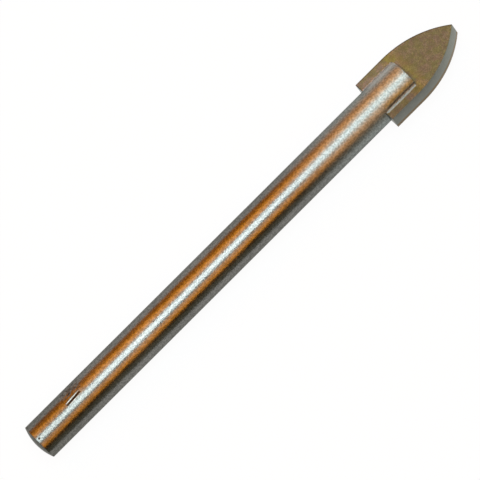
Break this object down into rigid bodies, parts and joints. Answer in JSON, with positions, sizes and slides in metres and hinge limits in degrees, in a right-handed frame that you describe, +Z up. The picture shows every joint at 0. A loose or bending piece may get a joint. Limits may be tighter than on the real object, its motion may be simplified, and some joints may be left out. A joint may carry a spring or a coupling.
{
  "type": "spear-point drill bit",
  "caption": "Drill bit for glass and tile: a plain round steel shank with a flat spear-shaped carbide plate brazed into its slotted front end.",
  "frame": {"origin": "on the ground under the axis, halfway along the bit", "axes": "+X along the bit towards its point, +Y to the left of that direction, +Z up"},
  "size_m": [0.0578, 0.006, 0.004],
  "materials": {
    "shank_steel": "satin ground steel",
    "carbide": "sintered tungsten carbide, matt faces and ground edges",
    "braze": "bright braze alloy"
  },
  "bodies": {
    "root": {"shank": "shank_steel", "carbide_tip": "carbide", "braze_joint": "braze"}
  },
  "joints": []
}
